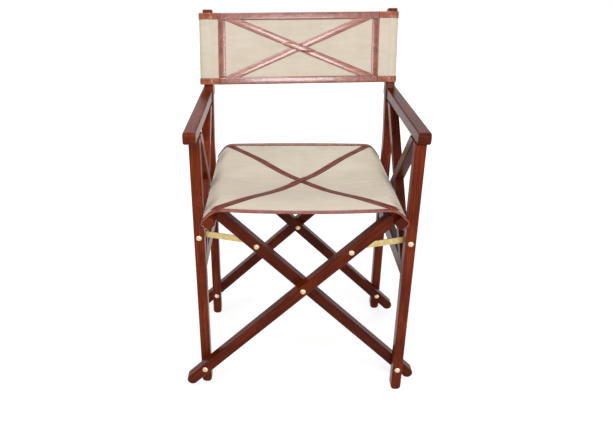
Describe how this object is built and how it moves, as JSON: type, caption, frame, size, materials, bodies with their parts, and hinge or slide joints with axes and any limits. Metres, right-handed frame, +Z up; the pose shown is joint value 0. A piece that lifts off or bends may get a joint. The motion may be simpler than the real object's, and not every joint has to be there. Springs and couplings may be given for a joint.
{
  "type": "folding armchair",
  "caption": "Folding wooden armchair with crossed legs, braced side frames, a canvas seat and a canvas back, bound and crossed with leather straps, on brass bolts and links.",
  "frame": {"origin": "on the floor under the middle of the open chair's box", "axes": "+Z up, +X to the right seen from the front, +Y from the front to the back"},
  "size_m": [0.5724, 0.4806, 0.876],
  "materials": {
    "hardwood": "dark red-brown stain under a glossy varnish",
    "canvas": "plain woven beige canvas",
    "leather": "smooth red-brown leather",
    "brass": "satin brass"
  },
  "bodies": {
    "right_side": {"right_front_upright": "hardwood", "right_rear_post": "hardwood", "right_arm": "hardwood", "right_side_stretcher": "hardwood", "right_rising_brace": "hardwood", "right_falling_brace": "hardwood", "right_dowels": "hardwood", "right_side_bolts": "brass", "right_side_cap_nuts": "brass", "right_foot_washers": "brass", "right_back_sleeve": "canvas", "right_sleeve_bands": "leather", "right_back_strip": "leather", "back_panel": "canvas", "back_top_binding": "leather", "back_bottom_binding": "leather", "back_strap_lower": "leather", "back_strap_upper": "leather"},
    "inner_legs": {"inner_front_leg": "hardwood", "inner_rear_leg": "hardwood", "left_seat_rail": "hardwood", "left_rail_screws": "brass", "left_seat_tacks": "brass", "left_leg_studs": "brass", "centre_bolts": "brass", "centre_cap_nuts": "brass", "centre_washers": "brass", "seat_canvas": "canvas", "seat_front_binding": "leather", "seat_rear_binding": "leather", "seat_strap_lower": "leather", "seat_strap_upper": "leather"},
    "outer_legs": {"outer_front_leg": "hardwood", "outer_rear_leg": "hardwood", "right_seat_rail": "hardwood", "right_rail_screws": "brass", "right_seat_tacks": "brass", "right_leg_studs": "brass"},
    "left_side": {"left_front_upright": "hardwood", "left_rear_post": "hardwood", "left_arm": "hardwood", "left_side_stretcher": "hardwood", "left_rising_brace": "hardwood", "left_falling_brace": "hardwood", "left_dowels": "hardwood", "left_side_bolts": "brass", "left_side_cap_nuts": "brass", "left_foot_washers": "brass", "left_back_sleeve": "canvas", "left_sleeve_bands": "leather", "left_back_strip": "leather"},
    "right_links": {"right_front_link": "brass", "right_rear_link": "brass", "right_link_rivets": "brass"},
    "left_links": {"left_front_link": "brass", "left_rear_link": "brass", "left_link_rivets": "brass"}
  },
  "joints": [
    {"name": "fold", "type": "hinge", "parent": "right_side", "child": "inner_legs", "pos_m": [0.24, 0, 0.06], "axis": [0, 1, 0], "range_deg": [0, 36.54], "deforming": ["seat_canvas", "seat_front_binding", "seat_rear_binding", "seat_strap_lower", "seat_strap_upper", "back_panel", "back_top_binding", "back_bottom_binding", "back_strap_lower", "back_strap_upper"]},
    {"name": "scissor", "type": "hinge", "parent": "inner_legs", "child": "outer_legs", "pos_m": [0, 0, 0.29], "axis": [0, 1, 0], "range_deg": [-82.44, 0]},
    {"name": "left_side_pivot", "type": "hinge", "parent": "outer_legs", "child": "left_side", "pos_m": [-0.24, 0, 0.06], "axis": [0, 1, 0], "range_deg": [0, 36.54]},
    {"name": "right_link_pivot", "type": "hinge", "parent": "right_side", "child": "right_links", "pos_m": [0.24, 0, 0.416], "axis": [0, 1, 0], "range_deg": [0, 75.22]},
    {"name": "left_link_pivot", "type": "hinge", "parent": "left_side", "child": "left_links", "pos_m": [-0.24, 0, 0.416], "axis": [0, 1, 0], "range_deg": [-75.22, 0]}
  ],
  "couplings": [
    {"joint": "scissor", "follows": "fold", "ratio": -2.2563},
    {"joint": "left_side_pivot", "follows": "fold", "ratio": 1},
    {"joint": "right_link_pivot", "follows": "fold", "ratio": 2.0588},
    {"joint": "left_link_pivot", "follows": "fold", "ratio": -2.0588}
  ]
}
